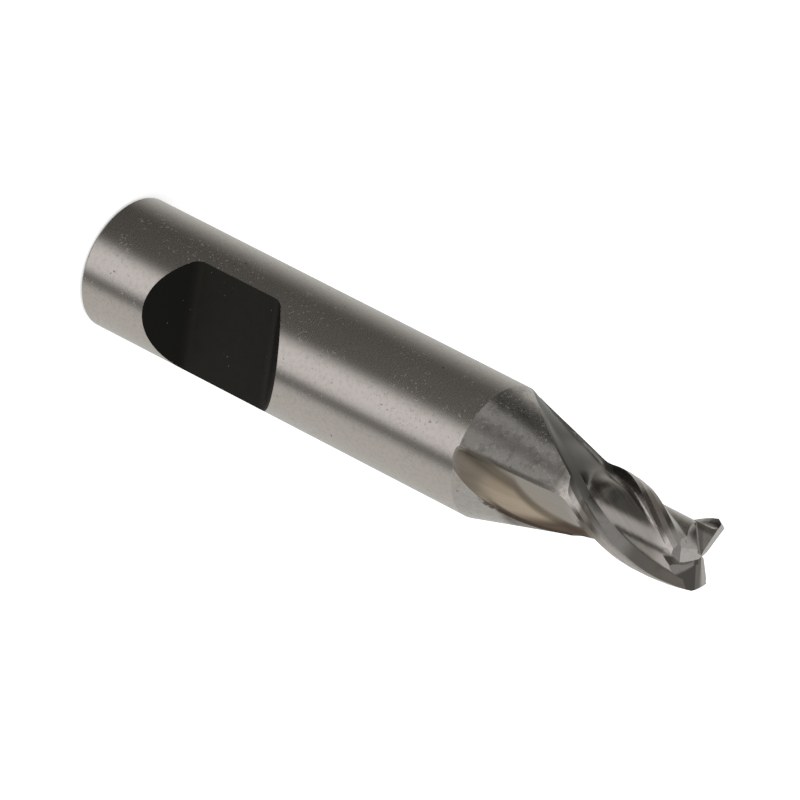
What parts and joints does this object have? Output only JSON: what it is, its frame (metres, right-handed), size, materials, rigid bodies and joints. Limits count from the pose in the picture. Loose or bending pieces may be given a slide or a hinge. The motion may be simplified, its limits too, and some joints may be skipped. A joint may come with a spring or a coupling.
{
  "type": "endmill",
  "caption": "Short end mill ground from one bar: straight shank with a clamping flat, cone neck and helical flutes with centre-cutting end teeth.",
  "frame": {"origin": "middle of the shank's end face, the face that the tool stands on", "axes": "+Z along the tool's axis from the shank end to the cutting end; the clamping flat faces -Y; +X follows from the right-hand rule"},
  "size_m": [0.006, 0.006, 0.0322],
  "materials": {
    "ground_steel": "ground bright, with black oxide left in the clamping flat"
  },
  "bodies": {
    "root": {"end_mill": "ground_steel"}
  },
  "joints": []
}
